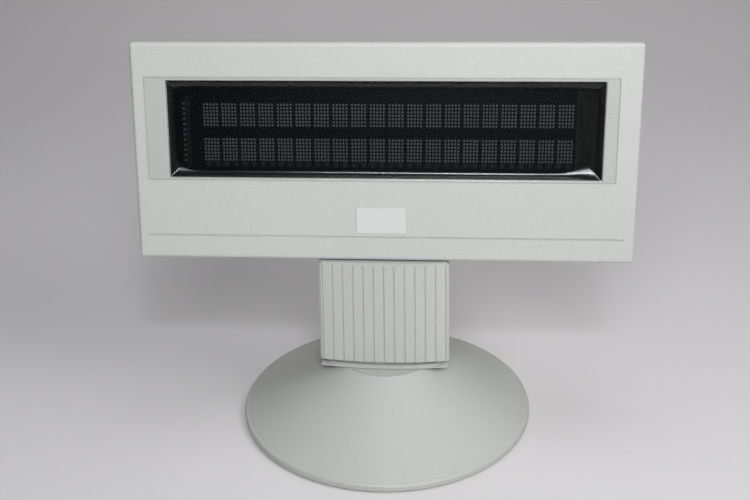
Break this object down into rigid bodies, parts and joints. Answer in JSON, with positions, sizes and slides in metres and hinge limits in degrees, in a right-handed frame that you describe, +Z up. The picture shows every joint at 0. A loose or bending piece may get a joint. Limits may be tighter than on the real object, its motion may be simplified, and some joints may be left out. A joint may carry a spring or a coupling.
{
  "type": "customer pole display",
  "caption": "Two-line dot-matrix customer display: rectangular head with a recessed window, tilting on a short ribbed column that swivels on a round weighted base.",
  "frame": {"origin": "centre of the base on the surface it stands on", "axes": "+Z up, the display looks towards -Y, +X to the right of someone reading it"},
  "size_m": [0.2038, 0.128, 0.1663],
  "materials": {
    "bezel_plastic": "fine spark-eroded moulded texture",
    "cover_plastic": "fine spark-eroded moulded texture",
    "column_plastic": "smooth satin moulding",
    "base_plastic": "smooth satin moulding",
    "disc_plastic": "smooth satin moulding",
    "lens_acrylic": "clear polished sheet",
    "film_clear": "thin clear film",
    "tube_glass": "clear float glass",
    "back_glass": "black-coated glass",
    "anode_phosphor": "printed phosphor dots on a dark ground",
    "badge_blank": "blank printed label",
    "gasket_foam": "black foam",
    "wire_metal": "fine tungsten wire and nickel strip",
    "pin_metal": "tinned leads",
    "frame_plastic": "black moulding",
    "circuit_board": "green solder mask",
    "chip_epoxy": "black moulding compound",
    "capacitor_sleeve": "sleeved aluminium can",
    "inductor_core": "ferrite with enamelled wire",
    "connector_nylon": "natural nylon",
    "socket_plastic": "black moulding",
    "ribbon_film": "flat film cable",
    "screw_steel": "zinc-plated steel",
    "hinge_steel": "zinc-plated steel",
    "washer_nylon": "natural nylon",
    "knuckle_zinc": "die-cast zinc, tumbled",
    "weight_steel": "blackened steel ring",
    "cover_black": "grained moulding",
    "foot_rubber": "rubber",
    "glide_pom": "acetal"
  },
  "bodies": {
    "head": {"front_bezel": "bezel_plastic", "rear_cover": "cover_plastic", "window_lens": "lens_acrylic", "window_film": "film_clear", "badge_plate": "badge_blank", "light_gasket": "gasket_foam", "vfd_front_glass": "tube_glass", "vfd_back_glass": "back_glass", "character_anodes": "anode_phosphor", "filament_wires": "wire_metal", "filament_anchors": "wire_metal", "vfd_pins": "pin_metal", "carrier_frame": "frame_plastic", "display_board": "circuit_board", "driver_chips": "chip_epoxy", "capacitors": "capacitor_sleeve", "power_inductor": "inductor_core", "interface_board": "circuit_board", "data_socket": "socket_plastic", "ribbon_connectors": "connector_nylon", "ribbon_cable": "ribbon_film", "module_screws": "screw_steel", "interface_screws": "screw_steel", "housing_screws": "screw_steel", "tilt_bracket": "hinge_steel", "bracket_screws": "screw_steel", "hinge_pin": "hinge_steel", "hinge_nut": "hinge_steel", "spring_washer": "hinge_steel", "friction_washers": "washer_nylon"},
    "column": {"ribbed_column": "column_plastic", "column_top_cap": "column_plastic", "tilt_knuckle": "knuckle_zinc", "column_tube": "hinge_steel", "collar_setscrew": "screw_steel", "column_foot": "column_plastic", "cap_screws": "screw_steel", "foot_screws": "screw_steel", "swivel_disc": "disc_plastic", "retaining_washer": "hinge_steel", "retaining_clip": "hinge_steel"},
    "base": {"base_shell": "base_plastic", "base_weight": "weight_steel", "bottom_cover": "cover_black", "cover_screws": "screw_steel", "rubber_feet": "foot_rubber", "glide_ring": "glide_pom"}
  },
  "joints": [
    {"name": "column_swivel", "type": "hinge", "parent": "base", "child": "column", "pos_m": [0, 0, 0.028], "axis": [0, 0, 1], "range_deg": [-160, 160]},
    {"name": "head_tilt", "type": "hinge", "parent": "column", "child": "head", "pos_m": [0, -0.00002, 0.08607], "axis": [-1, 0, 0], "range_deg": [0, 25]}
  ]
}
